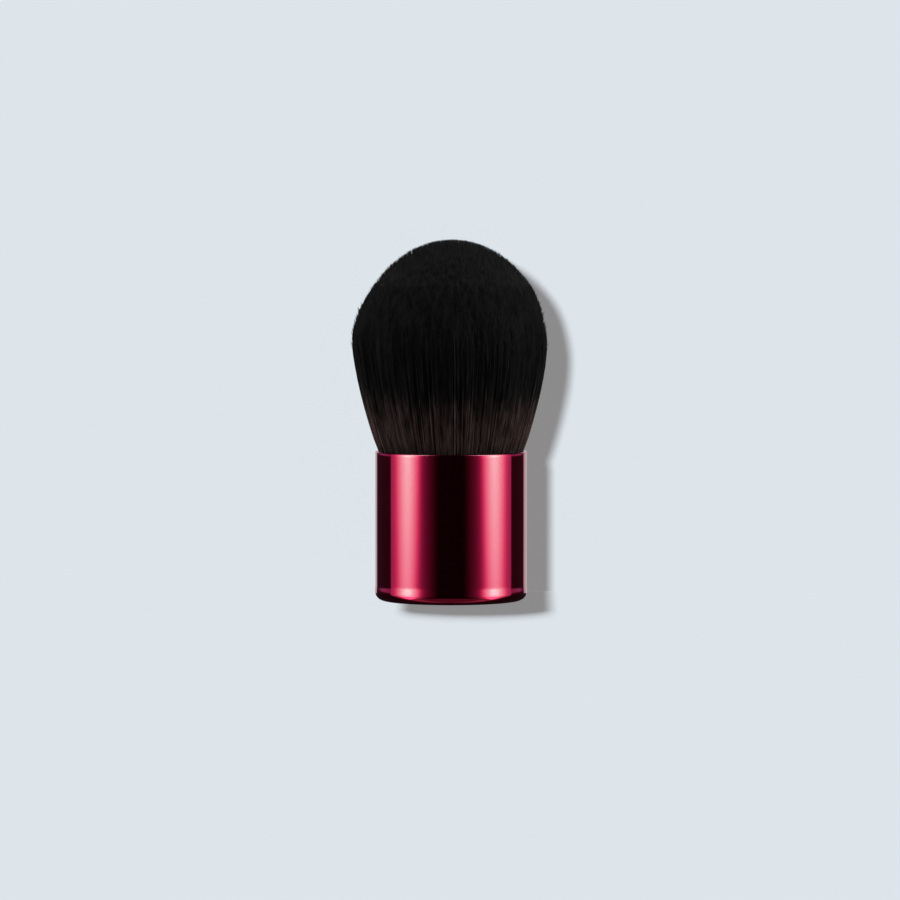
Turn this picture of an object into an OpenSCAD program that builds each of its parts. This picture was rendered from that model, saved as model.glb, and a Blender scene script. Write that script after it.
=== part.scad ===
// Kabuki makeup brush: a domed tuft of bristles in a short drawn aluminium handle.
// It stands on its base at z = 0, with Z as its axis. All sizes are in millimetres.

/* [Handle shell] */
// Outer diameter of the handle
shell_d = 36; // [31:0.5:42]
// Height of the handle from base to rim
shell_h = 35.5; // [32:0.5:45]
// Thickness of the drawn wall
shell_wall = 0.6; // [0.5:0.05:0.9]
// Thickness of the drawn floor
shell_floor = 1; // [0.8:0.1:1.6]
// Outside radius of the corner between foot and base
base_corner = 2.2; // [1.6:0.1:4]
// Height over which the wall runs out into the foot, above that corner
foot_rise = 1.6; // [1:0.1:3]
// How far the foot stands out from the wall
foot_out = 0.08; // [0.06:0.02:0.3]

/* [Base weight] */
// Height of the steel slug
weight_h = 6; // [3:0.5:8]
// Gap between the slug and the wall round it
weight_play = 0.4; // [0.2:0.1:0.6]
// Chamfer on the slug's upper edge
weight_edge = 0.5; // [0.3:0.1:0.8]
// Thickness of the adhesive under the slug
bed_t = 0.4; // [0.2:0.1:0.8]

/* [Knot holder] */
// Depth of the holder's top edge below the rim
holder_setback = 4; // [2.5:0.5:6]
// Thickness of the holder's wall
holder_wall = 1; // [0.8:0.1:1.4]
// Height that the crush ribs stand out from that wall
rib_h = 0.55; // [0.3:0.05:0.8]
// Radius of the half-round crush ribs
rib_r = 0.8; // [0.6:0.1:1.2]
// Number of crush ribs
rib_count = 12; // [6:1:18]
// Length of the taper that leads the ribs into the handle
rib_lead = 2; // [1:0.5:4]
// Gap between the ribs and the handle's wall
press_gap = 0.05; // [0.02:0.01:0.1]
// Thickness of the holder's floor
web_t = 1.4; // [1:0.1:2]
// Diameter of the glue hole in that floor
glue_hole_d = 6; // [3:0.5:10]
// Number of stiffening webs under that floor
web_count = 6; // [3:1:12]
// Thickness of those webs and of the ring round the glue hole
web_rib_t = 1; // [0.8:0.1:1.5]

/* [Knot sleeve] */
// Thickness of the sleeve's wall and flange
sleeve_wall = 0.4; // [0.3:0.05:0.6]
// Length of the sleeve
sleeve_h = 17; // [12:0.5:18]
// Inside radius where the wall turns out into the flange
sleeve_bend = 0.6; // [0.6:0.1:0.9]
// Gap between the sleeve and the holder's bore
sleeve_gap = 0.1; // [0.05:0.05:0.2]
// Gap between the flange's edge and the handle's wall
flange_gap = 0.5; // [0.3:0.1:0.7]
// Gap between the sleeve's lower end and the holder's floor
seat_gap = 0.3; // [0.2:0.1:0.6]

/* [Roots] */
// Thickness of the binding thread's winding
thread_t = 0.8; // [0.5:0.1:1.2]
// Width of the winding
thread_band = 3; // [2:0.5:5]
// Height of the winding above the sleeve's lower end
thread_lift = 3; // [2:0.5:5]
// Thickness of the slice of resin that the bristles stand in
slice_t = 2; // [1:0.5:3]

/* [Bristles] */
// Widest diameter of the tuft
tuft_d = 46.4; // [42:0.2:52]
// Height of the tuft above the rim
tuft_h = 50.4; // [44:0.2:60]
// Height of the widest place above the rim
widest_h = 25.5; // [22:0.5:30]
// How soon the flare turns upright: 1 is a straight cone
flare_power = 1.5; // [1:0.05:1.8]
// How much the dome's shoulders slope: a half makes the dome an ellipse
dome_power = 0.56; // [0.46:0.01:0.6]
// Number of strands, each standing for a lock of fibres
strand_count = 430; // [300:10:450]
// Thickness of a strand, as a share of the space between strands
strand_fill = 0.9; // [0.6:0.05:0.95]
// Thickness of a strand's tip, as a share of its full thickness
tip_share = 0.7; // [0.3:0.05:0.9]
// Gap between the bristles and the rim
mouth_gap = 0.2; // [0.1:0.05:0.4]

/* [Hidden] */
$fn = 96;

// Radii, from the handle's wall inwards
shell_r = shell_d / 2;
bore_r = shell_r - shell_wall;
bore_corner = base_corner - shell_wall;
weight_r = bore_r - weight_play;
holder_r = bore_r - press_gap - rib_h;
socket_r = holder_r - holder_wall;
sleeve_r = socket_r - sleeve_gap;
root_r = sleeve_r - sleeve_wall;

// Heights above the base, upwards
weight_z = shell_floor + bed_t;
weight_top = weight_z + weight_h;
holder_top = shell_h - holder_setback;
holder_h = holder_top - weight_top;
sleeve_top = holder_top + sleeve_wall;
sleeve_z = sleeve_top - sleeve_h;
socket_z = sleeve_z - seat_gap;
web_z = socket_z - web_t;
skirt_h = web_z - weight_top;
thread_z = sleeve_z + thread_lift;
slice_top = sleeve_top - sleeve_bend;
slice_z = slice_top - slice_t;
widest_z = shell_h + widest_h;

// The tuft's outline: it leaves the mouth, flares to its widest place and closes in a dome
tuft_r = tuft_d / 2;
mouth_r = bore_r - mouth_gap;
dome_h = tuft_h - widest_h;
// Heights at which every strand bends: just over the rim, and where the flare turns upright
mouth_bend = shell_h + shell_wall;
upright_share = 0.72;
flare_bend = shell_h + widest_h * upright_share;

// Strands are set out by the golden angle, whose nearest neighbours on a disc are this far apart,
// in radii of the disc over the root of the count
golden_angle = 180 * (3 - sqrt(5));
golden_space = 1.54;
strand_space = strand_fill * golden_space;
strand_r = root_r * strand_space / (2 * sqrt(strand_count) + strand_space);
strand_sides = 3;
// Depth that a strand reaches into the slice, and overlap of solids that are joined
sunk = slice_t / 2;
lap = 0.2;

// Upright outline of the space inside the cup, with a round lower corner
module bore_outline() {
    translate([0, shell_floor + bore_corner]) square([bore_r, shell_h]);
    translate([0, shell_floor]) square([bore_r - bore_corner, shell_h]);
    translate([bore_r - bore_corner, shell_floor + bore_corner]) circle(r = bore_corner);
}

// Drawn aluminium cup, with a full round at the rim and a slightly flared foot
module handle_shell() {
    rim_r = shell_wall / 2;
    foot_r = shell_r + foot_out;
    color("#a3113f")
        rotate_extrude()
            difference() {
                union() {
                    square([foot_r - base_corner, base_corner]);
                    translate([foot_r - base_corner, base_corner]) circle(r = base_corner);
                    polygon([
                        [0, base_corner],
                        [foot_r, base_corner],
                        [shell_r, base_corner + foot_rise],
                        [shell_r, shell_h - rim_r],
                        [0, shell_h - rim_r]
                    ]);
                    translate([shell_r - rim_r, shell_h - rim_r]) circle(r = rim_r);
                }
                bore_outline();
            }
}

// Turned steel slug: its lower chamfer clears the round corner inside the cup
module base_weight() {
    color("#8b8d90")
        rotate_extrude()
            polygon([
                [0, weight_z],
                [weight_r - bore_corner, weight_z],
                [weight_r, weight_z + bore_corner],
                [weight_r, weight_top - weight_edge],
                [weight_r - weight_edge, weight_top],
                [0, weight_top]
            ]);
}

// Bed of adhesive that holds the slug to the cup's floor
module weight_adhesive() {
    color("#d9cfa6")
        translate([0, 0, shell_floor])
            cylinder(r = weight_r - bore_corner, h = bed_t);
}

// Half-round rib down the holder's side, with a taper at its lower end
module crush_rib() {
    translate([bore_r - press_gap - rib_r, 0, weight_top]) {
        cylinder(r1 = rib_r - rib_h / 2, r2 = rib_r, h = rib_lead);
        translate([0, 0, rib_lead]) cylinder(r = rib_r, h = holder_h - rib_lead);
    }
}

// Stiffening web from the ring round the glue hole out to the skirt
module floor_web() {
    translate([glue_hole_d / 2 + lap, -web_rib_t / 2, weight_top])
        cube([socket_r - glue_hole_d / 2, web_rib_t, skirt_h + lap]);
}

// Moulded insert: it stands on the slug, grips the cup by its ribs and carries the knot
module knot_holder() {
    color("#e8e6df")
        difference() {
            union() {
                difference() {
                    union() {
                        translate([0, 0, weight_top]) cylinder(r = holder_r, h = holder_h);
                        for (i = [0 : rib_count - 1]) rotate(360 * i / rib_count) crush_rib();
                    }
                    translate([0, 0, weight_top - lap]) cylinder(r = socket_r, h = skirt_h + lap);
                }
                for (i = [0 : web_count - 1]) rotate(360 * i / web_count) floor_web();
                translate([0, 0, weight_top])
                    cylinder(d = glue_hole_d + 2 * web_rib_t, h = skirt_h + lap);
            }
            translate([0, 0, socket_z]) cylinder(r = socket_r, h = holder_h);
            translate([0, 0, holder_top - sleeve_bend])
                cylinder(r1 = socket_r, r2 = socket_r + sleeve_bend, h = sleeve_bend);
            translate([0, 0, weight_top - lap])
                cylinder(d = glue_hole_d, h = socket_z - weight_top + 2 * lap);
        }
}

// Drawn aluminium ring: its flange lies on the holder, and its bend lets the fibres fan out
module knot_sleeve() {
    color("#c3c6c9")
        rotate_extrude() {
            translate([root_r, sleeve_z]) square([sleeve_wall, sleeve_h - sleeve_bend]);
            translate([root_r + sleeve_bend, holder_top])
                square([bore_r - flange_gap - root_r - sleeve_bend, sleeve_wall]);
            translate([root_r + sleeve_bend, sleeve_top - sleeve_bend])
                intersection() {
                    difference() {
                        circle(r = sleeve_bend);
                        circle(r = sleeve_bend - sleeve_wall);
                    }
                    translate([-sleeve_bend, 0]) square(sleeve_bend);
                }
        }
}

// Thread wound flat round the bundle's roots, and the space that it takes up
module winding() {
    translate([0, 0, thread_z])
        difference() {
            cylinder(r = root_r, h = thread_band);
            translate([0, 0, -lap]) cylinder(r = root_r - thread_t, h = thread_band + 2 * lap);
        }
}

module binding_thread() {
    color("#efe9dc") winding();
}

// Epoxy block with the fibres' root ends cast in, round which the thread lies
module root_resin() {
    color("#c99a3c")
        difference() {
            translate([0, 0, sleeve_z]) cylinder(r = root_r, h = slice_z - sleeve_z);
            winding();
        }
}

// Radius of the tuft's outline at a height
function outline(z) =
    z >= widest_z ? tuft_r :
    z >= shell_h ? mouth_r + (tuft_r - mouth_r) * (1 - pow(1 - (z - shell_h) / widest_h, flare_power)) :
    root_r + (mouth_r - root_r) * max(0, z - slice_top) / (shell_h - slice_top);

// How far out strand i stands: 0 at the axis, 1 at the edge of the bundle
function spread(i) = sqrt((i + 0.5) / strand_count);

// Height of a strand's tip, which lies on the dome
function tip_z(i) = widest_z + dome_h * pow(1 - pow(spread(i), 2), dome_power);

// Half thickness of a strand at a height: it fills the space as the tuft widens
function thickness(z) = strand_r * outline(z) / root_r;

// Corner k of strand i at a height, with the strand this thick there
function corner(i, k, z, thick) =
    let (middle = spread(i) * (outline(z) - thick), turn = i * golden_angle, side = turn + 360 * k / strand_sides)
    [middle * cos(turn) + thick * cos(side), middle * sin(turn) + thick * sin(side), z];

// One strand: a tapering rod with a ring of corners at its root, its two bends and its tip
module strand(i) {
    rings = [
        [slice_top - sunk, thickness(slice_top)],
        [mouth_bend, thickness(mouth_bend)],
        [flare_bend, thickness(flare_bend)],
        [tip_z(i), thickness(widest_z) * tip_share]
    ];
    last = len(rings) - 1;
    corners = [for (ring = rings) for (k = [0 : strand_sides - 1]) corner(i, k, ring[0], ring[1])];
    sides = [
        for (j = [0 : last - 1])
            for (k = [0 : strand_sides - 1])
                let (a = j * strand_sides + k, b = j * strand_sides + (k + 1) % strand_sides)
                for (half = [[a, a + strand_sides, b], [b, a + strand_sides, b + strand_sides]])
                    half
    ];
    root = [for (k = [0 : strand_sides - 1]) k];
    tip = [for (k = [strand_sides - 1 : -1 : 0]) last * strand_sides + k];
    polyhedron(points = corners, faces = concat(sides, [root, tip]));
}

// Tuft of strands, fused to the slice of resin that they stand in
module bristles() {
    color("#1a1717") {
        translate([0, 0, slice_z]) cylinder(r = root_r, h = slice_t);
        for (i = [0 : strand_count - 1]) strand(i);
    }
}

handle_shell();
base_weight();
weight_adhesive();
knot_holder();
knot_sleeve();
binding_thread();
root_resin();
bristles();
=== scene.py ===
import math

import bmesh
import bpy
import numpy as np
from mathutils import Matrix, Vector


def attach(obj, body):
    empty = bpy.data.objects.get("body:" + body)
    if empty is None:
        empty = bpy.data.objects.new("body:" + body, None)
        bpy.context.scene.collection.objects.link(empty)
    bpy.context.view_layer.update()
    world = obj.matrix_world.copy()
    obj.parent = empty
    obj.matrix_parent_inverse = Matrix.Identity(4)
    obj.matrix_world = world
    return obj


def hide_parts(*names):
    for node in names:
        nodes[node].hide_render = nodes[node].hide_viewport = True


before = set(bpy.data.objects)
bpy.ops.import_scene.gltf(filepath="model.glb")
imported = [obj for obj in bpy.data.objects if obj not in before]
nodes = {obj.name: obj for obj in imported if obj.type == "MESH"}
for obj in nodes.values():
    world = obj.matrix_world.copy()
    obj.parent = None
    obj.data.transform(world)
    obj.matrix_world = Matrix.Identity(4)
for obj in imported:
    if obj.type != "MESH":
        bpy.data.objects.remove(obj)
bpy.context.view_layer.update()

mm = 0.001
body = "root"


def linearColour(hexText):
    parts = [int(hexText[i:i + 2], 16) / 255 for i in (1, 3, 5)]
    return [p / 12.92 if p <= 0.04045 else ((p + 0.055) / 1.055) ** 2.4 for p in parts] + [1.0]


def addNode(tree, kind, feeds=None, values=None, **settings):
    node = tree.nodes.new(kind)
    for name, value in settings.items():
        setattr(node, name, value)
    for name, value in (values or {}).items():
        node.inputs[name].default_value = value
    for name, source in (feeds or {}).items():
        tree.links.new(source, node.inputs[name])
    return node


def emptyMaterial(name):
    material = bpy.data.materials.new(name)
    material.use_nodes = True
    tree = material.node_tree
    tree.nodes.clear()
    return material, tree


def finishMaterial(tree, shader):
    addNode(tree, "ShaderNodeOutputMaterial", feeds={"Surface": shader})


def addObject(name, mesh, material, slotName=None, smooth=True):
    piece = bpy.data.objects.new(name, mesh)
    bpy.context.scene.collection.objects.link(piece)
    mesh.materials.clear()
    mesh.materials.append(material)
    mesh.polygons.foreach_set("use_smooth", [smooth] * len(mesh.polygons))
    if slotName:
        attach(piece, body)
    return piece


# Camera: the brush seen level from the front, from a little above, through a long lens
camera = {
    "distance": 1.5,      # m
    "rise": 3.2,          # degrees above level
    "pixels": 900,
    "perMm": 4.212,       # pixels to a millimetre, which makes the handle 36 mm across
    "axisX": 451.0,       # pixel column of the brush's axis
    "baseY": 600.2,       # pixel row where the axis meets the base
    "sensor": 36.0,       # mm
}


def makeCamera():
    rise, far = math.radians(camera["rise"]), camera["distance"]
    middle = camera["pixels"] / 2
    lookZ = (camera["baseY"] - middle) / (camera["perMm"] * math.cos(rise)) * mm
    lookX = (middle - camera["axisX"]) / camera["perMm"] * mm
    data = bpy.data.cameras.new("camera")
    data.sensor_width = camera["sensor"]
    data.lens = camera["sensor"] * far / (camera["pixels"] / camera["perMm"] * mm)
    data.clip_start = 0.05
    data.clip_end = 60
    eye = bpy.data.objects.new("camera", data)
    eye.location = (lookX, -far * math.cos(rise), lookZ + far * math.sin(rise))
    eye.rotation_euler = (math.pi / 2 - rise, 0, 0)
    bpy.context.scene.collection.objects.link(eye)
    bpy.context.scene.camera = eye


makeCamera()
print("camera set")


# Handle: a drawn cup, polished and then dyed by anodising
handle = {
    "radius": 18.0,
    "height": 35.5,
    "wall": 0.6,
    "floor": 1.0,
    "baseCorner": 2.2,
    "footOut": 0.08,      # the foot flares out by this much
    "footRise": 1.6,      # over this height above the corner
    "footSteps": 8,
    "guard": 0.5,         # rings this far from the rounded edges keep the long wall's shading straight
    "steps": 240,
    "cornerSegments": 12,
    "rimSegments": 5,
    "cornerShare": 0.995,  # bevels stop just short of their full width, so that no face is squeezed flat
    "rimShare": 0.98,
}


def spinProfile(points, steps):
    shape = bmesh.new()
    verts = [shape.verts.new((r * mm, 0, z * mm)) for r, z in points]
    for a, b in zip(verts, verts[1:]):
        shape.edges.new((a, b))
    bmesh.ops.spin(shape, geom=shape.verts[:] + shape.edges[:], cent=(0, 0, 0), axis=(0, 0, 1),
                   angle=2 * math.pi, steps=steps, use_merge=True)
    bmesh.ops.remove_doubles(shape, verts=shape.verts[:], dist=1e-6)
    bmesh.ops.recalc_face_normals(shape, faces=shape.faces[:])
    return shape


def bevelRing(shape, radius, height, offset, segments):
    near = 1e-5
    ring = [
        e for e in shape.edges
        if all(abs(v.co.z - height * mm) < near and abs(v.co.xy.length - radius * mm) < near
               for v in e.verts)
    ]
    bmesh.ops.bevel(shape, geom=ring, offset=offset * mm, offset_type="OFFSET", affect="EDGES",
                    segments=segments, profile=0.5, material=-1, clamp_overlap=False)


def toMesh(shape, name):
    mesh = bpy.data.meshes.new(name)
    shape.to_mesh(mesh)
    shape.free()
    return mesh


def makeHandle():
    outer, top, wall, floor = handle["radius"], handle["height"], handle["wall"], handle["floor"]
    corner, guard, foot = handle["baseCorner"], handle["guard"], handle["radius"] + handle["footOut"]
    bore, innerCorner, rim = outer - wall, corner - wall, wall / 2
    flare = []
    for k in range(handle["footSteps"] + 1):
        up = k / handle["footSteps"]
        out = handle["footOut"] * (1 + math.cos(math.pi * up)) / 2
        flare.append((outer + out, corner + handle["footRise"] * up))
    shape = spinProfile([
        (0, 0),
        (foot - corner - guard, 0),
        (foot, 0),
        *flare,
        (outer, corner + handle["footRise"] + guard),
        (outer, top - rim - guard),
        (outer, top),
        (bore, top),
        (bore, top - rim - guard),
        (bore, floor + innerCorner + guard),
        (bore, floor),
        (bore - innerCorner - guard, floor),
        (0, floor),
    ], handle["steps"])
    bevelRing(shape, foot, 0, corner * handle["cornerShare"], handle["cornerSegments"])
    bevelRing(shape, bore, floor, innerCorner, handle["cornerSegments"])
    bevelRing(shape, outer, top, rim * handle["rimShare"], handle["rimSegments"])
    bevelRing(shape, bore, top, rim * handle["rimShare"], handle["rimSegments"])
    return toMesh(shape, "handleShell")


# Anodised aluminium: a clear oxide over metal whose pores hold the dye, so reflections of the lamps
# come back crimson from the metal, and paler where the oxide's own gloss adds to them
anodised = {
    "dye": "#e91e4c",
    "dyeDeep": "#e51c4a",
    "worn": "#ef305a",      # the rim, where polishing thins the colour
    "wornBand": 0.45,       # mm below the rim's top
    "wornShare": 0.7,
    "roughness": 0.06,
    "smudge": 0.05,         # added where fingers have dulled it
    "smudgeSize": 9.0,      # mm
    "smudgeRange": (0.45, 0.8),
    "lineSpacing": 0.12,    # mm between polishing lines, drawn four times too coarse so that they show
    "lineDepth": 0.02,      # mm
    "coatIor": 1.5,
    "coatRoughness": 0.03,
}


def anodisedMaterial():
    material, tree = emptyMaterial("anodisedAluminium")
    place = addNode(tree, "ShaderNodeTexCoord").outputs["Object"]
    smudges = addNode(tree, "ShaderNodeTexNoise", feeds={"Vector": place},
                      values={"Scale": 1000 / anodised["smudgeSize"], "Detail": 5.0, "Roughness": 0.62})
    dull = addNode(tree, "ShaderNodeMapRange", feeds={"Value": smudges.outputs["Fac"]},
                   values={"From Min": anodised["smudgeRange"][0], "From Max": anodised["smudgeRange"][1],
                           "To Min": anodised["roughness"],
                           "To Max": anodised["roughness"] + anodised["smudge"]})
    lines = addNode(tree, "ShaderNodeMapping", feeds={"Vector": place},
                    values={"Scale": (30, 30, 1000 / anodised["lineSpacing"])})
    polish = addNode(tree, "ShaderNodeTexNoise", feeds={"Vector": lines.outputs["Vector"]},
                     values={"Scale": 1.0, "Detail": 2.0})
    shade = addNode(tree, "ShaderNodeMix", data_type="RGBA",
                    feeds={"Factor": smudges.outputs["Fac"]},
                    values={6: linearColour(anodised["dye"]), 7: linearColour(anodised["dyeDeep"])})
    height = addNode(tree, "ShaderNodeSeparateXYZ", feeds={"Vector": place}).outputs["Z"]
    rim = addNode(tree, "ShaderNodeMapRange", feeds={"Value": height},
                  values={"From Min": (handle["height"] - anodised["wornBand"]) * mm,
                          "From Max": handle["height"] * mm,
                          "To Min": 0.0, "To Max": anodised["wornShare"]})
    colour = addNode(tree, "ShaderNodeMix", data_type="RGBA",
                     feeds={"Factor": rim.outputs["Result"], 6: shade.outputs[2]},
                     values={7: linearColour(anodised["worn"])})
    bump = addNode(tree, "ShaderNodeBump", feeds={"Height": polish.outputs["Fac"]},
                   values={"Strength": 0.02, "Distance": anodised["lineDepth"] * mm})
    shader = addNode(tree, "ShaderNodeBsdfPrincipled",
                     feeds={"Base Color": colour.outputs[2], "Roughness": dull.outputs["Result"],
                            "Normal": bump.outputs["Normal"]},
                     values={"Metallic": 1.0, "Coat Weight": 1.0, "Coat IOR": anodised["coatIor"],
                             "Coat Roughness": anodised["coatRoughness"]})
    finishMaterial(tree, shader.outputs["BSDF"])
    return material


handleShell = addObject("handleShell", makeHandle(), anodisedMaterial(), "anodised_aluminium")
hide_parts("handle_shell")
print("handle spun")


# Hair: fine synthetic filament, flagged at the tips, dyed black over dark brown roots. Real filaments
# are about 0.07 mm thick, and these are over twice that so that they show
hair = {
    "seed": 7,
    "rootZ": 33.9,        # mm, below the rim, where the drawn strands start
    "rootR": 16.6,
    "neckZ": 35.0,        # where the hair presses on the rim's inner edge
    "neckR": 17.0,
    "rimZ": 35.65,        # where it has bulged out over the rim
    "mouthR": 17.4,
    "wideZ": 61.0,
    "wideR": 23.2,
    "topZ": 85.8,
    "flarePower": 1.52,
    "domePower": 0.565,   # a half would make the dome an ellipse
    "leans": [(35, 0.0), (55, -0.18), (65, -0.45), (74, 0.28), (86, 0.28)],   # mm to the right, by height
    "thick": 0.085,       # half thickness of a strand
    "longCount": 9300,
    "longRings": 9,
    "longInner": 0.62,    # share of the bundle's section that they stand outside
    "edgeFrom": 0.93,     # the outermost, from this share of the radius,
    "edgeShort": 0.7,     # end up to this many mm below the dome
    "lockCount": 83,
    "lockRound": (31, 1.7),               # locks round the bundle, and how steeply they wind outwards
    "lockOut": 40,
    "lockLean": 0.005,    # radians
    "strandLean": 0.006,
    "sway": 0.005,
    "sink": 0.16,         # mm inwards at the middle of a strand
    "tipCount": 21000,
    "tipRings": 4,
    "tipLength": 9.0,
    "tipShort": 0.2,      # mm below the dome on average
    "tipShortMost": 0.9,
    "tipLean": 0.25,      # mm
    "tone": (0.35, 0.1),
    "toneMost": 0.8,
    "strayShare": 0.012,  # a few pale strands catch the eye, as in any tuft
    "perPiece": 7000,
    "bodyShare": 0.975,   # the body under the strands, as a share of their outline
    "bodyInset": 0.2,
    "bodyLow": 0.6,       # mm lower at the top
    "bodyRings": 12,
    "bodySteps": 96,
}


def hairOutline(z):
    u = np.clip((z - hair["rimZ"]) / (hair["wideZ"] - hair["rimZ"]), 0, 1)
    flare = hair["mouthR"] + (hair["wideR"] - hair["mouthR"]) * (1 - (1 - u) ** hair["flarePower"])
    neck = np.interp(z, [hair["rootZ"], hair["neckZ"], hair["rimZ"]],
                     [hair["rootR"], hair["neckR"], hair["mouthR"]])
    return np.where(z < hair["rimZ"], neck, flare)


def domeHeight(spread):
    rise = hair["topZ"] - hair["wideZ"]
    return hair["wideZ"] + rise * np.clip(1 - spread ** 2, 0, 1) ** hair["domePower"]


def leanRight(points):
    heights, shifts = zip(*hair["leans"])
    points[..., 0] += np.interp(points[..., 2], heights, shifts)
    return points


def makeProfile():
    data = bpy.data.curves.new("strandProfile", "CURVE")
    data.dimensions = "2D"
    ring = data.splines.new("POLY")
    ring.points.add(2)
    for k, point in enumerate(ring.points):
        turn = 2 * math.pi * k / 3
        point.co = (hair["thick"] * mm * math.cos(turn), hair["thick"] * mm * math.sin(turn), 0, 1)
    ring.use_cyclic_u = True
    profile = bpy.data.objects.new("strandProfile", data)
    bpy.context.scene.collection.objects.link(profile)
    return profile


def strandPiece(name, points, thickness, tone, turns, material, profile):
    count, rings = thickness.shape
    curve = bpy.data.curves.new(name, "CURVE")
    curve.dimensions = "3D"
    curve.bevel_mode = "OBJECT"
    curve.bevel_object = profile
    places = np.concatenate([points * mm, np.ones((count, rings, 1))], axis=2)
    for i in range(count):
        spline = curve.splines.new("POLY")
        spline.points.add(rings - 1)
        spline.points.foreach_set("co", places[i].ravel())
        spline.points.foreach_set("radius", thickness[i])
        spline.points.foreach_set("tilt", [turns[i]] * rings)
    source = bpy.data.objects.new(name + "Curve", curve)
    bpy.context.scene.collection.objects.link(source)
    bpy.context.view_layer.update()
    ready = source.evaluated_get(bpy.context.evaluated_depsgraph_get())
    mesh = bpy.data.meshes.new_from_object(ready)
    mesh.name = name
    closeEnds(mesh)
    bpy.data.objects.remove(source)
    bpy.data.curves.remove(curve)
    sides = len(mesh.vertices) // (count * rings)
    strandOf = np.arange(len(mesh.vertices)) // (rings * sides)
    tones = mesh.attributes.new("tone", "FLOAT", "POINT").data
    tones.foreach_set("value", tone[strandOf].astype(np.float32))
    layStrips(mesh, count, rings, sides)
    piece = addObject(name, mesh, material, "bristle_fibre")
    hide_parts("bristles")
    return piece


def closeEnds(mesh):
    shape = bmesh.new()
    shape.from_mesh(mesh)
    bmesh.ops.holes_fill(shape, edges=[e for e in shape.edges if e.is_boundary], sides=4)
    shape.to_mesh(mesh)
    shape.free()


def layStrips(mesh, count, rings, sides):
    # every strand has a strip of its own in the map: its length runs across, its girth upwards
    across = math.ceil(math.sqrt(count / 2))
    down = math.ceil(count / across)
    while mesh.uv_layers:
        mesh.uv_layers.remove(mesh.uv_layers[0])
    layer = mesh.uv_layers.new(name="OFBake")
    vertex = np.zeros(len(mesh.loops), np.int32)
    mesh.loops.foreach_get("vertex_index", vertex)
    first = np.zeros(len(mesh.polygons), np.int32)
    total = np.zeros(len(mesh.polygons), np.int32)
    mesh.polygons.foreach_get("loop_start", first)
    mesh.polygons.foreach_get("loop_total", total)
    face = np.repeat(np.arange(len(first)), total)
    strand, ring, side = vertex // (rings * sides), vertex // sides % rings, vertex % sides
    lowSide = np.minimum.reduceat(side, first)[face]
    highSide = np.maximum.reduceat(side, first)[face]
    isEnd = (np.maximum.reduceat(ring, first) == np.minimum.reduceat(ring, first))[face]
    wraps = (highSide - lowSide == sides - 1) & (side == 0) & ~isEnd
    girth = (side + wraps * sides) / sides
    outwards = 0.04 * side * np.where(ring == 0, -1, 1) * isEnd
    u = (strand % across + 0.1 + 0.8 * ring / (rings - 1) + outwards) / across
    v = (strand // across + 0.15 + 0.7 * girth) / down
    layer.data.foreach_set("uv", np.stack([u, v], 1).astype(np.float32).ravel())


def goldenTurns(count, rng, wander):
    return np.arange(count) * math.pi * (3 - math.sqrt(5)) + rng.normal(0, wander, count)


def makeLongHair(rng):
    count, rings = hair["longCount"], hair["longRings"]
    spread = np.sqrt(rng.uniform(hair["longInner"], 1.0, count))
    turn = goldenTurns(count, rng, 0.02)
    tipZ = domeHeight(spread) - rng.uniform(0, hair["edgeShort"], count) * (spread > hair["edgeFrom"])
    along = np.linspace(0, 1, rings) ** 0.85
    z = hair["rootZ"] + np.outer(tipZ - hair["rootZ"], along)
    around, winding = hair["lockRound"]
    lock = np.round(turn * around / (2 * math.pi) * winding + spread * hair["lockOut"]) % hair["lockCount"]
    lockLean = rng.normal(0, hair["lockLean"], hair["lockCount"])[lock.astype(int)]
    lean = (lockLean + rng.normal(0, hair["strandLean"], count))[:, None] * along ** 1.5
    sway = rng.normal(0, hair["sway"], count)[:, None] * np.sin(math.pi * along)
    radius = hairOutline(z) * spread[:, None]
    radius -= np.abs(rng.normal(0, hair["sink"], count))[:, None] * np.sin(math.pi * along)
    angle = turn[:, None] + lean + sway
    points = np.stack([radius * np.cos(angle), radius * np.sin(angle), z], axis=2)
    thickness = rng.uniform(0.75, 1.15, count)[:, None] * np.interp(along, [0, 0.6, 1], [1, 1, 0.3])
    return points, thickness


def makeTipHair(rng):
    count, rings = hair["tipCount"], hair["tipRings"]
    spread = np.sqrt((np.arange(count) + 0.5) / count)
    turn = goldenTurns(count, rng, 0.01)
    tipZ = domeHeight(spread) - np.minimum(rng.exponential(hair["tipShort"], count), hair["tipShortMost"])
    root = np.stack([hair["rootR"] * spread, np.full(count, hair["rootZ"])], 1)
    tip = np.stack([hair["wideR"] * spread, tipZ], 1)
    way = (tip - root) / np.linalg.norm(tip - root, axis=1)[:, None]
    back = np.linspace(1, 0, rings)
    line = tip[:, None, :] - way[:, None, :] * (back * hair["tipLength"])[None, :, None]
    lean = rng.normal(0, hair["tipLean"], (count, 2))[:, None, :] * ((1 - back) ** 2)[None, :, None]
    points = np.stack([line[:, :, 0] * np.cos(turn)[:, None] + lean[:, :, 0],
                       line[:, :, 0] * np.sin(turn)[:, None] + lean[:, :, 1],
                       line[:, :, 1]], axis=2)
    thickness = rng.uniform(0.8, 1.2, count)[:, None] * np.interp(1 - back, [0, 0.6, 1], [1, 0.9, 0.35])
    return points, thickness


def strandTones(count, rng):
    tone = np.clip(rng.normal(*hair["tone"], count), 0, hair["toneMost"])
    tone[rng.uniform(0, 1, count) < hair["strayShare"]] = 1.0
    return tone


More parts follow.
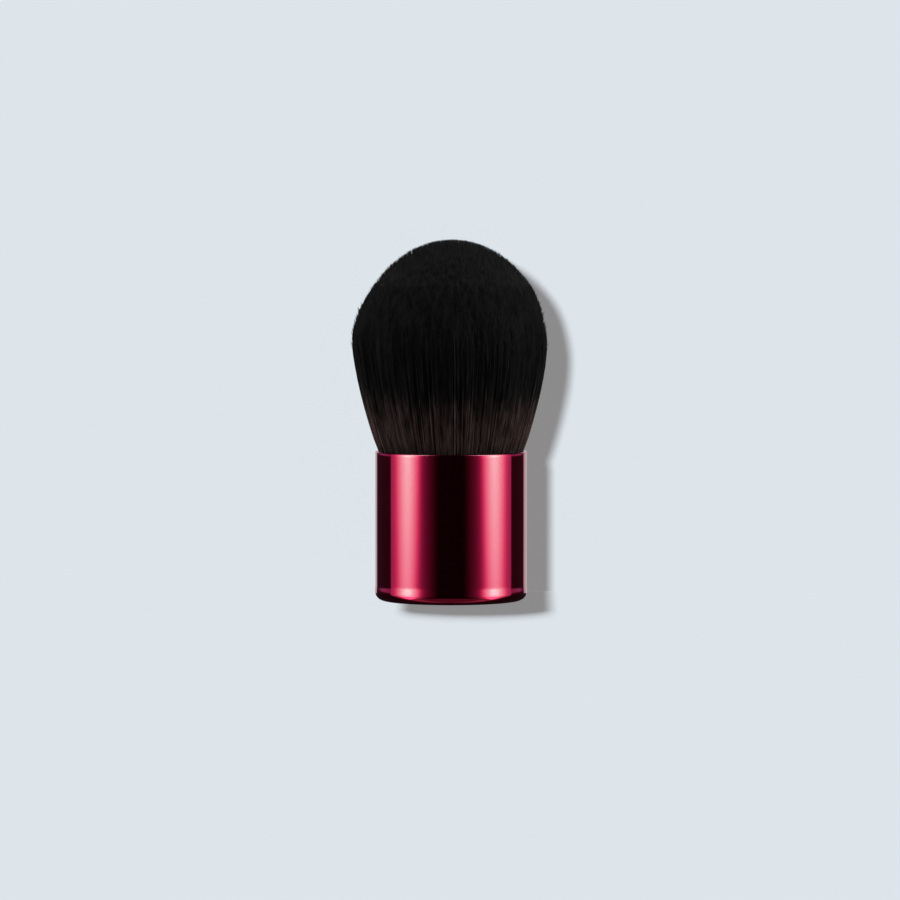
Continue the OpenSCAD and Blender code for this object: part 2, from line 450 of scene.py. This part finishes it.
def makeHair(material):
    rng = np.random.default_rng(hair["seed"])
    profile = makeProfile()
    for name, (points, thickness) in (("hairLong", makeLongHair(rng)), ("hairTips", makeTipHair(rng))):
        tone = strandTones(len(points), rng)
        turns = rng.uniform(0, 2 * math.pi, len(points))
        order = rng.permutation(len(points))
        # a piece has as many rings in either kind
        step = hair["perPiece"] * hair["tipRings"] // thickness.shape[1]
        for part, start in enumerate(range(0, len(points), step)):
            mine = order[start:start + step]
            strandPiece(f"{name}{part + 1}", leanRight(points[mine]), thickness[mine], tone[mine],
                        turns[mine], material, profile)
        print(name, len(points), "strands")
    shape = profile.data
    bpy.data.objects.remove(profile)
    bpy.data.curves.remove(shape)


def makeHairBody():
    share, low, rings, inset = hair["bodyShare"], hair["rootZ"], hair["bodyRings"], hair["bodyInset"]
    heights = np.linspace(low, hair["wideZ"], rings)
    outline = [(0, low)] + [(float(hairOutline(z)) * share - inset, float(z)) for z in heights]
    dome = hair["topZ"] - hair["wideZ"]
    for k in range(1, rings + 1):
        turn = math.pi / 2 * k / rings
        outline.append(((hair["wideR"] * share - inset) * math.cos(turn) if k < rings else 0,
                        hair["wideZ"] + (dome * share - hair["bodyLow"]) * math.sin(turn)))
    mesh = toMesh(spinProfile(outline, hair["bodySteps"]), "hairBody")
    for vertex in mesh.vertices:
        vertex.co = Vector(leanRight(np.array(vertex.co) / mm) * mm)
    return mesh


# Dyed synthetic filament: matt and almost black, fading to dark brown towards the roots, lock by lock
fibre = {
    "black": "#100f0f",
    "blackPale": "#262626",
    "brown": "#372b28",
    "brownPale": "#604e4c",
    "grey": "#77706e",
    "fadeLow": 39.0,      # mm: all brown below this height
    "fadeHigh": 51.0,     # mm: all black above it
    "ragged": 9.0,        # mm that one strand's fade may lie above another's
    "streak": 1.3,        # mm between locks that differ in tone
    "streakLength": 40.0,  # mm
    "lockRange": (0.36, 0.66),
    "lockShare": (-0.06, 0.5),
    "toneShare": 0.42,    # of a strand's own tone
    "strayShare": (0.35, 0.03),           # how pale a stray strand is in the brown and in the black
    "roughness": 0.6,
    "fuzz": 0.035,        # the matt sheen of flagged tips
}


def fibreMaterial():
    material, tree = emptyMaterial("blackSyntheticFibre")
    place = addNode(tree, "ShaderNodeTexCoord").outputs["Object"]
    tone = addNode(tree, "ShaderNodeAttribute", attribute_name="tone").outputs["Fac"]
    height = addNode(tree, "ShaderNodeSeparateXYZ", feeds={"Vector": place}).outputs["Z"]
    across, along = 1000 / fibre["streak"], 1000 / fibre["streakLength"]
    stretched = addNode(tree, "ShaderNodeMapping", feeds={"Vector": place},
                        values={"Scale": (across, across, along)})
    streaks = addNode(tree, "ShaderNodeTexNoise", feeds={"Vector": stretched.outputs["Vector"]},
                      values={"Scale": 1.0, "Detail": 3.0, "Roughness": 0.6}).outputs["Fac"]
    shift = addNode(tree, "ShaderNodeMath", operation="MULTIPLY_ADD", feeds={0: streaks},
                    values={1: -fibre["ragged"] * 2 * mm, 2: fibre["ragged"] * mm})
    level = addNode(tree, "ShaderNodeMath", operation="ADD", feeds={0: height, 1: shift.outputs[0]})
    fade = addNode(tree, "ShaderNodeMapRange", interpolation_type="SMOOTHSTEP",
                   feeds={"Value": level.outputs[0]},
                   values={"From Min": fibre["fadeLow"] * mm,
                           "From Max": fibre["fadeHigh"] * mm}).outputs["Result"]
    locks = addNode(tree, "ShaderNodeMapRange", feeds={"Value": streaks},
                    values={"From Min": fibre["lockRange"][0], "From Max": fibre["lockRange"][1],
                            "To Min": fibre["lockShare"][0], "To Max": fibre["lockShare"][1]})
    vary = addNode(tree, "ShaderNodeMath", operation="MULTIPLY_ADD", use_clamp=True,
                   feeds={0: tone, 2: locks.outputs["Result"]}, values={1: fibre["toneShare"]})
    dark = addNode(tree, "ShaderNodeMix", data_type="RGBA", feeds={"Factor": vary.outputs[0]},
                   values={6: linearColour(fibre["black"]), 7: linearColour(fibre["blackPale"])})
    warm = addNode(tree, "ShaderNodeMix", data_type="RGBA", feeds={"Factor": vary.outputs[0]},
                   values={6: linearColour(fibre["brown"]), 7: linearColour(fibre["brownPale"])})
    blend = addNode(tree, "ShaderNodeMix", data_type="RGBA",
                    feeds={"Factor": fade, 6: warm.outputs[2], 7: dark.outputs[2]})
    strayShare = addNode(tree, "ShaderNodeMapRange", feeds={"Value": fade},
                         values={"To Min": fibre["strayShare"][0], "To Max": fibre["strayShare"][1]})
    stray = addNode(tree, "ShaderNodeMapRange",
                    feeds={"Value": tone, "To Max": strayShare.outputs["Result"]},
                    values={"From Min": 0.9, "From Max": 1.0, "To Min": 0.0})
    colour = addNode(tree, "ShaderNodeMix", data_type="RGBA",
                     feeds={"Factor": stray.outputs["Result"], 6: blend.outputs[2]},
                     values={7: linearColour(fibre["grey"])})
    shader = addNode(tree, "ShaderNodeBsdfPrincipled", feeds={"Base Color": colour.outputs[2]},
                     values={"Roughness": fibre["roughness"], "Specular IOR Level": 0.0,
                             "Sheen Weight": fibre["fuzz"], "Sheen Roughness": 0.4})
    finishMaterial(tree, shader.outputs["BSDF"])
    return material


hairMaterial = fibreMaterial()
hairBody = addObject("hairBody", makeHairBody(), hairMaterial, "bristle_fibre")
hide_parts("bristles")
makeHair(hairMaterial)
print("hair planted")


# The pieces inside the closed handle keep their CAD shapes and get the finish of the real ones
inner = {
    "steel": "#8b8d90",
    "steelDark": "#6c6a68",
    "feed": 0.16,         # mm between the turning tool's grooves
    "glue": "#d9cfa6",
    "gluePale": "#e9e2c4",
    "bubbles": 0.6,       # mm apart
    "plastic": "#e8e6df",
    "plasticDull": "#d8d5cb",
    "grain": 0.09,        # mm, the spark-eroded grain of a mould
    "sleeve": "#c3c6c9",
    "sleeveDark": "#a4a7aa",
    "drawLines": 0.07,    # mm apart, up the drawn wall
    "thread": "#efe9dc",
    "threadDark": "#cfc6b0",
    "pitch": 0.24,        # mm from one turn of the thread to the next
    "resin": "#c99a3c",
    "resinDark": "#a8761f",
    "roots": 0.3,         # mm between the root ends in the resin
    "rootDark": "#241a15",
}


def placeIn(tree, scale):
    place = addNode(tree, "ShaderNodeTexCoord").outputs["Object"]
    return addNode(tree, "ShaderNodeMapping", feeds={"Vector": place},
                   values={"Scale": tuple(s / mm for s in scale)}).outputs["Vector"]


def noiseIn(tree, scale, detail=3.0):
    return addNode(tree, "ShaderNodeTexNoise", feeds={"Vector": placeIn(tree, scale)},
                   values={"Scale": 1.0, "Detail": detail}).outputs["Fac"]


def grooves(tree, scale, spacing):
    # sine grooves by distance from the axis, or up it, as the scale leaves one or the other
    far = addNode(tree, "ShaderNodeVectorMath", operation="LENGTH",
                  feeds={0: placeIn(tree, scale)}).outputs["Value"]
    phase = addNode(tree, "ShaderNodeMath", operation="MULTIPLY", feeds={0: far},
                    values={1: 2 * math.pi / spacing})
    return addNode(tree, "ShaderNodeMath", operation="SINE", feeds={0: phase.outputs[0]}).outputs[0]


def blendOf(tree, share, first, second):
    return addNode(tree, "ShaderNodeMix", data_type="RGBA", feeds={"Factor": share},
                   values={6: linearColour(inner[first]), 7: linearColour(inner[second])}).outputs[2]


def dressInner(name, materialName, colourOf, heightOf, depth, rough, **finish):
    material, tree = emptyMaterial(materialName)
    wear = noiseIn(tree, (0.4, 0.4, 0.4))
    dull = addNode(tree, "ShaderNodeMapRange", feeds={"Value": wear},
                   values={"From Min": 0.3, "From Max": 0.7, "To Min": rough[0], "To Max": rough[1]})
    bump = addNode(tree, "ShaderNodeBump", feeds={"Height": heightOf(tree)},
                   values={"Strength": 0.5, "Distance": depth * mm})
    shader = addNode(tree, "ShaderNodeBsdfPrincipled",
                     feeds={"Base Color": colourOf(tree), "Roughness": dull.outputs["Result"],
                            "Normal": bump.outputs["Normal"]}, values=finish)
    finishMaterial(tree, shader.outputs["BSDF"])
    for slot in nodes[name].material_slots:
        slot.material = material


def bubblesIn(tree):
    return addNode(tree, "ShaderNodeTexVoronoi",
                   feeds={"Vector": placeIn(tree, [1 / inner["bubbles"]] * 3)},
                   values={"Scale": 1.0}).outputs["Distance"]


def resinColour(tree):
    # root ends stand through the resin as dark dots in an amber that varies in depth
    cells = addNode(tree, "ShaderNodeTexVoronoi",
                    feeds={"Vector": placeIn(tree, (1 / inner["roots"], 1 / inner["roots"], 0.02))},
                    values={"Scale": 1.0}).outputs["Distance"]
    dot = addNode(tree, "ShaderNodeMapRange", feeds={"Value": cells},
                  values={"From Min": 0.34, "From Max": 0.26})
    amber = blendOf(tree, noiseIn(tree, (0.5, 0.5, 0.5)), "resin", "resinDark")
    return addNode(tree, "ShaderNodeMix", data_type="RGBA",
                   feeds={"Factor": dot.outputs["Result"], 6: amber},
                   values={7: linearColour(inner["rootDark"])}).outputs[2]


# turned steel: grooves round the axis from the tool, and darker mill scale in patches
dressInner("base_weight", "turnedSteel",
           lambda tree: blendOf(tree, noiseIn(tree, (0.3, 0.3, 0.3)), "steel", "steelDark"),
           lambda tree: grooves(tree, (1, 1, 0), inner["feed"]), 0.01, (0.3, 0.45), Metallic=1.0)
# cured hot-melt adhesive: cloudy, with small bubbles
dressInner("weight_adhesive", "hotMeltAdhesive",
           lambda tree: blendOf(tree, bubblesIn(tree), "gluePale", "glue"),
           bubblesIn, 0.05, (0.3, 0.5), **{"Subsurface Weight": 0.2, "Subsurface Scale": 0.5 * mm})
# moulded ABS: the mould's fine grain, and flow marks as broad changes of tone
dressInner("knot_holder", "mouldedAbs",
           lambda tree: blendOf(tree, noiseIn(tree, (0.15, 0.15, 0.6)), "plastic", "plasticDull"),
           lambda tree: noiseIn(tree, [1 / inner["grain"]] * 3, 2.0), 0.008, (0.42, 0.56))
# drawn aluminium: fine lines up the wall, where the die dragged
dressInner("knot_sleeve", "drawnAluminium",
           lambda tree: blendOf(tree, noiseIn(tree, (4, 4, 0.1)), "sleeve", "sleeveDark"),
           lambda tree: noiseIn(tree, (1 / inner["drawLines"], 1 / inner["drawLines"], 0.05)),
           0.006, (0.22, 0.4), Metallic=1.0)
# waxed polyester thread: one groove to each turn, and fibres that cross it
dressInner("binding_thread", "waxedThread",
           lambda tree: blendOf(tree, noiseIn(tree, (9, 9, 3)), "thread", "threadDark"),
           lambda tree: grooves(tree, (0, 0, 1), inner["pitch"]), 0.06, (0.5, 0.7),
           **{"Sheen Weight": 0.3})
# cast epoxy: amber, glossy where it wetted the sleeve, with the fibres' root ends in it
dressInner("root_resin", "castEpoxy", resinColour, lambda tree: noiseIn(tree, (2, 2, 2)), 0.02,
           (0.12, 0.3), **{"Subsurface Weight": 0.15, "Subsurface Scale": 0.8 * mm, "Coat Weight": 0.3})
print("inner pieces finished")


# Stage: a pale floor and a pale board just behind the brush, which takes its shadow
stage = {
    "pale": "#dde5eb",
    "glow": (0.2518, 0.2465, 0.2497),     # light that a shadow leaves on the paper
    "reach": 6.0,         # m, half the side of the floor and of the board
    "boardY": 27.0,       # mm behind the axis
    "fill": 0.02,         # shares of the light that makes white white
    "flagZ": 6.0,         # mm above the floor, where a flag gives the shadow its soft edge
    "flagLeft": -11.5,
    "flagRight": (24.05, 23.25),          # at the board and in front
    "flagFront": -51.7,   # mm, where the shadow on the floor ends
    "flagBack": 14.0,     # mm behind the board
    "flagSteps": 24,
}

# Lamps that only give diffuse light: degrees to the right of the camera, degrees above level, degrees
# across, share of the light, and what they light
lamps = {
    "boardLight": (-11.9, 9.9, 4.9, 0.705, "board"),
    "floorLight": (180.0, 8.0, 4.9, 4.883, "floor"),
    "crownLight": (-174.5, 55.0, 6.0, 0.5, "brush"),
    "frontLight": (0.0, 25.0, 110.0, 0.22, "brush"),
    "leftLight": (-84.0, 10.0, 60.0, 1.6, "brush"),
    "rightLight": (84.0, 10.0, 60.0, 1.95, "brush"),
}
lampColour = (0.9297, 0.9791, 1.0)


def paleMaterial(name, seeThroughBack=False):
    material, tree = emptyMaterial(name)
    paper = addNode(tree, "ShaderNodeBsdfDiffuse", values={"Color": linearColour(stage["pale"])}).outputs[0]
    glow = addNode(tree, "ShaderNodeEmission",
                   values={"Color": (*stage["glow"], 1), "Strength": 1.0}).outputs[0]
    shader = addNode(tree, "ShaderNodeAddShader", feeds={0: paper, 1: glow}).outputs[0]
    if seeThroughBack:
        clear = addNode(tree, "ShaderNodeBsdfTransparent").outputs[0]
        behind = addNode(tree, "ShaderNodeNewGeometry").outputs["Backfacing"]
        shader = addNode(tree, "ShaderNodeMixShader",
                         feeds={0: behind, 1: shader, 2: clear}).outputs[0]
    finishMaterial(tree, shader)
    return material


def stagePlane(name, size, turn, place, material):
    shape = bmesh.new()
    bmesh.ops.create_grid(shape, x_segments=1, y_segments=1, size=size)
    bmesh.ops.transform(shape, matrix=Matrix.Translation(place) @ Matrix.Rotation(turn, 4, "X"),
                        verts=shape.verts[:])
    piece = addObject(name, toMesh(shape, name), material, smooth=False)
    piece.visible_diffuse = False
    piece.visible_glossy = False
    return piece


def makeStage():
    floor = stagePlane("floor", stage["reach"], 0, (0, 0, 0), paleMaterial("paleFloor"))
    board = stagePlane("board", stage["reach"], math.pi / 2, (0, stage["boardY"] * mm, stage["reach"]),
                       paleMaterial("palePaper", seeThroughBack=True))
    board.visible_shadow = False
    return {"floor": floor, "board": board}


def makeFlag():
    # the photograph's shadow lies low and shifted to the right, which this flag does to the low lamp behind
    drop = stage["flagZ"] / math.tan(math.radians(lamps["floorLight"][1]))
    left, (right, frontRight) = stage["flagLeft"], stage["flagRight"]
    middle, radius = (left + frontRight) / 2, (frontRight - left) / 2
    back = stage["boardY"] + stage["flagBack"]
    outline = [(left, back), (right, back)]
    for k in range(stage["flagSteps"] + 1):
        turn = -math.pi * k / stage["flagSteps"]
        outline.append((middle + radius * math.cos(turn),
                        stage["flagFront"] + radius * (1 + math.sin(turn))))
    shape = bmesh.new()
    shape.faces.new([shape.verts.new((x * mm, (y + drop) * mm, stage["flagZ"] * mm))
                     for x, y in outline])
    flag = addObject("flag", toMesh(shape, "flag"), paleMaterial("flagCard"), smooth=False)
    for rays in ("camera", "diffuse", "glossy", "transmission", "volume_scatter"):
        setattr(flag, "visible_" + rays, False)
    return flag


def lightGroup(name, pieces, state="INCLUDE"):
    group = bpy.data.collections.new(name)
    for piece in pieces:
        group.objects.link(piece)
    for member in group.collection_objects:
        member.light_linking.link_state = state
    return group


def makeLamps(parts):
    flag = makeFlag()
    lit = {name: lightGroup(name + "Lit", [part]) for name, part in parts.items()}
    lit["brush"] = lightGroup("brushLit", [*parts.values(), flag], "EXCLUDE")
    flagOnly, noFlag = lightGroup("flagOnly", [flag]), lightGroup("noFlag", [flag], "EXCLUDE")
    for name, (turn, rise, soft, share, target) in lamps.items():
        data = bpy.data.lights.new(name, "SUN")
        data.energy = math.pi * share
        data.angle = math.radians(soft)
        data.color = lampColour if target != "brush" else (1, 1, 1)
        lamp = bpy.data.objects.new(name, data)
        lamp.rotation_euler = (math.radians(90 - rise), 0, math.radians(turn))
        lamp.visible_glossy = False
        bpy.context.scene.collection.objects.link(lamp)
        lamp.light_linking.receiver_collection = lit[target]
        lamp.light_linking.blocker_collection = flagOnly if target == "floor" else noFlag


# What the metal mirrors: a dark studio with a tall soft box on each side, each with a hot middle, a
# screen round it that takes a little of its light and ends sharply towards the back, and the pale
# board behind. Turns are degrees from the front, and levels are shares of the peak
studio = {
    "peak": 8.5,
    "boxTurn": 69.0,      # to the hot middle of a soft box
    "boxSoft": (8.8, 9.8),                # degrees over which it dims, inwards and outwards
    "bandTurn": 73.0,     # the same for what shows of it in the dim band just below level
    "bandSoft": (7.5, 9.0),
    "bandShare": 0.14,
    "upperShare": 0.21,   # what is added above that band
    "spill": 0.055,       # the light on the screen
    "spillTurn": (18.0, 75.0),            # between which it begins
    "spillShare": 0.85,   # of it in the dim band
    "screenEdge": 103.4,
    "dark": 0.0006,       # the room in front and behind
    "behind": 0.0026,
    "upperBehind": ((105.2, 0.03), (128.0, 0.034), (141.0, 0.012), (180.0, 0.012)),
    # turn, then how many degrees below level the mirrored table starts there
    "tableStart": ((0.0, 26.0), (22.0, 27.0), (39.0, 34.0), (56.0, 25.0), (76.0, 38.0), (84.0, 35.0),
                   (103.4, 8.0)),
    "markStep": 4,
    "bandMiddle": -5.5,   # degrees from level
    "bandHalf": 3.2,
    "upperFrom": -3.0,    # degrees between which the upper part is added
    "upperFull": -0.6,
    "upperTop": (7.0, 14.0),              # and between which it ends again
    "lowFade": (-17.0, -11.5),            # degrees: farther down the boxes only show in the pale table
    "lowShare": 0.35,
    "lowTint": (0.9, 0.62, 0.86),
    "tableFade": 6.0,
    "tableLevel": (0.09, 0.012),          # in front and behind
    "tableTurn": (40.0, 100.0),           # degrees from the front between which that changes
    "tableGain": 0.1,     # the table mirrors the boxes too
    "boardWay": 176.0,    # degrees from the front to the middle of the board
    "boardHalf": 29.0,
    "boardColour": (0.52, 0.49, 0.51),
    "boardLow": -6.0,     # degrees from level, where the floor hides it
    # colour of the light by the cube root of its level over the greatest: a camera's highlights lose
    # the red first, so the hot middle of a box is cold and its edge is rosy
    "greatest": 10.0,
    "tints": [
        (0.14, (1, 0.5, 1)), (0.2, (0.95, 0.33, 1)), (0.33, (0.85, 0.38, 1)), (0.416, (0.95, 0.5, 1)),
        (0.456, (0.87, 0.6, 1)), (0.55, (0.57, 1, 0.89)), (0.666, (0.36, 1, 0.78)),
        (0.843, (0.18, 1, 0.58)), (1.0, (0.15, 1, 0.55)),
    ],
}


def fillRamp(ramp, marks):
    elements = ramp.color_ramp.elements
    while len(elements) > 1:
        elements.remove(elements[-1])
    for k, (position, colour) in enumerate(marks):
        element = elements[0] if k == 0 else elements.new(position)
        element.position = position
        element.color = (*colour, 1)[:4]


def bell(way, soft):
    return math.exp(-(way / soft[way > 0]) ** 2 / 2)


# The levels in the dim band, outside it and added higher up, then where the mirrored table starts as
# a share of a right angle
def boxLevels(turn):
    box = bell(turn - studio["boxTurn"], studio["boxSoft"])
    band = bell(turn - studio["bandTurn"], studio["bandSoft"])
    first, last = studio["spillTurn"]
    along = min(max((turn - first) / (last - first), 0), 1)
    spill = studio["spill"] * along * along * (3 - 2 * along)
    start = float(np.interp(turn, *zip(*studio["tableStart"])))
    return (studio["dark"] + studio["bandShare"] * band + studio["spillShare"] * spill,
            studio["dark"] + box + spill, studio["upperShare"] * box ** 2, start / 90)


def studioMarks():
    lastTurn = studio["screenEdge"]
    turns = [*np.arange(0, lastTurn, studio["markStep"]).tolist(), lastTurn]
    tableEnd = studio["tableStart"][-1][1] / 90
    return ([(turn / 180, boxLevels(turn)) for turn in turns] +
            [(turn / 180, (studio["behind"], studio["behind"], upper, tableEnd))
             for turn, upper in studio["upperBehind"]])


def studioLight(tree):
    way = addNode(tree, "ShaderNodeTexCoord").outputs["Generated"]
    part = addNode(tree, "ShaderNodeSeparateXYZ", feeds={"Vector": way}).outputs
    front = addNode(tree, "ShaderNodeMath", operation="MULTIPLY", feeds={0: part["Y"]}, values={1: -1.0})
    turn = addNode(tree, "ShaderNodeMath", operation="ARCTAN2",
                   feeds={0: part["X"], 1: front.outputs[0]})
    off = addNode(tree, "ShaderNodeMath", operation="ABSOLUTE", feeds={0: turn.outputs[0]})
    around = addNode(tree, "ShaderNodeMath", operation="DIVIDE", feeds={0: off.outputs[0]},
                     values={1: math.pi})
    rise = addNode(tree, "ShaderNodeMath", operation="ARCSINE", feeds={0: part["Z"]})
    ramp = addNode(tree, "ShaderNodeValToRGB", feeds={"Fac": around.outputs[0]})
    fillRamp(ramp, studioMarks())
    levels = addNode(tree, "ShaderNodeSeparateColor", feeds={"Color": ramp.outputs["Color"]}).outputs
    fromBand = addNode(tree, "ShaderNodeMath", operation="SUBTRACT", feeds={0: rise.outputs[0]},
                       values={1: math.radians(studio["bandMiddle"])})
    bandWay = addNode(tree, "ShaderNodeMath", operation="ABSOLUTE", feeds={0: fromBand.outputs[0]})
    boxes = addNode(tree, "ShaderNodeMapRange", interpolation_type="SMOOTHSTEP", feeds={
        "Value": bandWay.outputs[0], "To Min": levels["Red"], "To Max": levels["Green"]},
        values={"From Min": 0.0, "From Max": math.radians(studio["bandHalf"])})
    upper = addNode(tree, "ShaderNodeMapRange", interpolation_type="SMOOTHSTEP",
                    feeds={"Value": rise.outputs[0]},
                    values={"From Min": math.radians(studio["upperFrom"]),
                            "From Max": math.radians(studio["upperFull"]),
                            "To Min": 0.0, "To Max": studio["peak"]})
    ended = addNode(tree, "ShaderNodeMapRange", interpolation_type="SMOOTHSTEP", feeds={
        "Value": rise.outputs[0], "To Min": upper.outputs["Result"]},
        values={"From Min": math.radians(studio["upperTop"][0]),
                "From Max": math.radians(studio["upperTop"][1]), "To Max": 0.0})
    added = addNode(tree, "ShaderNodeMath", operation="MULTIPLY",
                    feeds={0: levels["Blue"], 1: ended.outputs["Result"]})
    straight = addNode(tree, "ShaderNodeMapRange", interpolation_type="SMOOTHSTEP",
                       feeds={"Value": rise.outputs[0]},
                       values={"From Min": math.radians(studio["lowFade"][0]),
                               "From Max": math.radians(studio["lowFade"][1])})
    share = addNode(tree, "ShaderNodeMapRange", feeds={"Value": straight.outputs["Result"]},
                    values={"To Min": studio["peak"] * studio["lowShare"], "To Max": studio["peak"]})
    lit = addNode(tree, "ShaderNodeMath", operation="MULTIPLY_ADD", feeds={
        0: boxes.outputs["Result"], 1: share.outputs["Result"], 2: added.outputs[0]})
    under = addNode(tree, "ShaderNodeMath", operation="MULTIPLY_ADD",
                    feeds={0: ramp.outputs["Alpha"], 2: rise.outputs[0]}, values={1: math.pi / 2})
    table = addNode(tree, "ShaderNodeMapRange", interpolation_type="SMOOTHSTEP",
                    feeds={"Value": under.outputs[0]},
                    values={"From Min": 0.0, "From Max": -math.radians(studio["tableFade"])})
    paper = addNode(tree, "ShaderNodeMapRange", feeds={"Value": off.outputs[0]}, values={
        "From Min": math.radians(studio["tableTurn"][0]),
        "From Max": math.radians(studio["tableTurn"][1]),
        "To Min": studio["tableLevel"][0], "To Max": studio["tableLevel"][1]})
    mirrored = addNode(tree, "ShaderNodeMath", operation="MULTIPLY_ADD",
                       feeds={0: lit.outputs[0], 2: paper.outputs["Result"]},
                       values={1: studio["tableGain"]})
    level = addNode(tree, "ShaderNodeMix", data_type="FLOAT", feeds={
        "Factor": table.outputs["Result"], 2: lit.outputs[0], 3: mirrored.outputs[0]}).outputs[0]
    heat = addNode(tree, "ShaderNodeMath", operation="DIVIDE", feeds={0: level},
                   values={1: studio["greatest"]})
    root = addNode(tree, "ShaderNodeMath", operation="POWER", feeds={0: heat.outputs[0]},
                   values={1: 1 / 3})
    tint = addNode(tree, "ShaderNodeValToRGB", feeds={"Fac": root.outputs[0]})
    fillRamp(tint, studio["tints"])
    toned = addNode(tree, "ShaderNodeMix", data_type="RGBA",
                    feeds={"Factor": straight.outputs["Result"], 7: tint.outputs["Color"]},
                    values={6: (*studio["lowTint"], 1)})
    boxLight = addNode(tree, "ShaderNodeVectorMath", operation="SCALE",
                       feeds={"Vector": toned.outputs[2], "Scale": level})
    boardWay = math.radians(studio["boardWay"])
    toBoard = addNode(tree, "ShaderNodeVectorMath", operation="DOT_PRODUCT", feeds={0: way},
                      values={1: (math.sin(boardWay), -math.cos(boardWay), 0)})
    board = addNode(tree, "ShaderNodeMapRange", feeds={"Value": toBoard.outputs["Value"]},
                    values={"From Min": math.cos(math.radians(studio["boardHalf"] + 2)),
                            "From Max": math.cos(math.radians(studio["boardHalf"]))})
    above = addNode(tree, "ShaderNodeMapRange", feeds={"Value": rise.outputs[0]},
                    values={"From Min": math.radians(studio["boardLow"] - 1.5),
                            "From Max": math.radians(studio["boardLow"])})
    boardSeen = addNode(tree, "ShaderNodeMath", operation="MULTIPLY",
                        feeds={0: board.outputs["Result"], 1: above.outputs["Result"]})
    return addNode(tree, "ShaderNodeMix", data_type="RGBA",
                   feeds={"Factor": boardSeen.outputs[0], 6: boxLight.outputs["Vector"]},
                   values={7: (*studio["boardColour"], 1)}).outputs[2]


def makeWorld():
    world = bpy.data.worlds.new("studio")
    world.use_nodes = True
    world.cycles.sampling_method = "NONE"
    bpy.context.scene.world = world
    tree = world.node_tree
    tree.nodes.clear()
    ray = addNode(tree, "ShaderNodeLightPath").outputs
    fill = addNode(tree, "ShaderNodeBackground",
                   values={"Color": (1, 1, 1, 1), "Strength": stage["fill"]})
    boxes = addNode(tree, "ShaderNodeBackground", feeds={"Color": studioLight(tree)},
                    values={"Strength": 1.0})
    paper = addNode(tree, "ShaderNodeBackground",
                    values={"Color": linearColour(stage["pale"]), "Strength": 1.0})
    first = addNode(tree, "ShaderNodeMath", operation="LESS_THAN", feeds={0: ray["Diffuse Depth"]},
                    values={1: 0.5})
    mirrors = addNode(tree, "ShaderNodeMath", operation="MULTIPLY",
                      feeds={0: ray["Is Glossy Ray"], 1: first.outputs[0]})
    lit = addNode(tree, "ShaderNodeMixShader", feeds={0: mirrors.outputs[0], 1: fill.outputs[0],
                                                      2: boxes.outputs[0]})
    seen = addNode(tree, "ShaderNodeMixShader", feeds={0: ray["Is Camera Ray"], 1: lit.outputs[0],
                                                       2: paper.outputs[0]})
    addNode(tree, "ShaderNodeOutputWorld", feeds={"Surface": seen.outputs[0]})


makeLamps(makeStage())
makeWorld()
bpy.context.scene.view_settings.view_transform = "Standard"
print("stage lit")
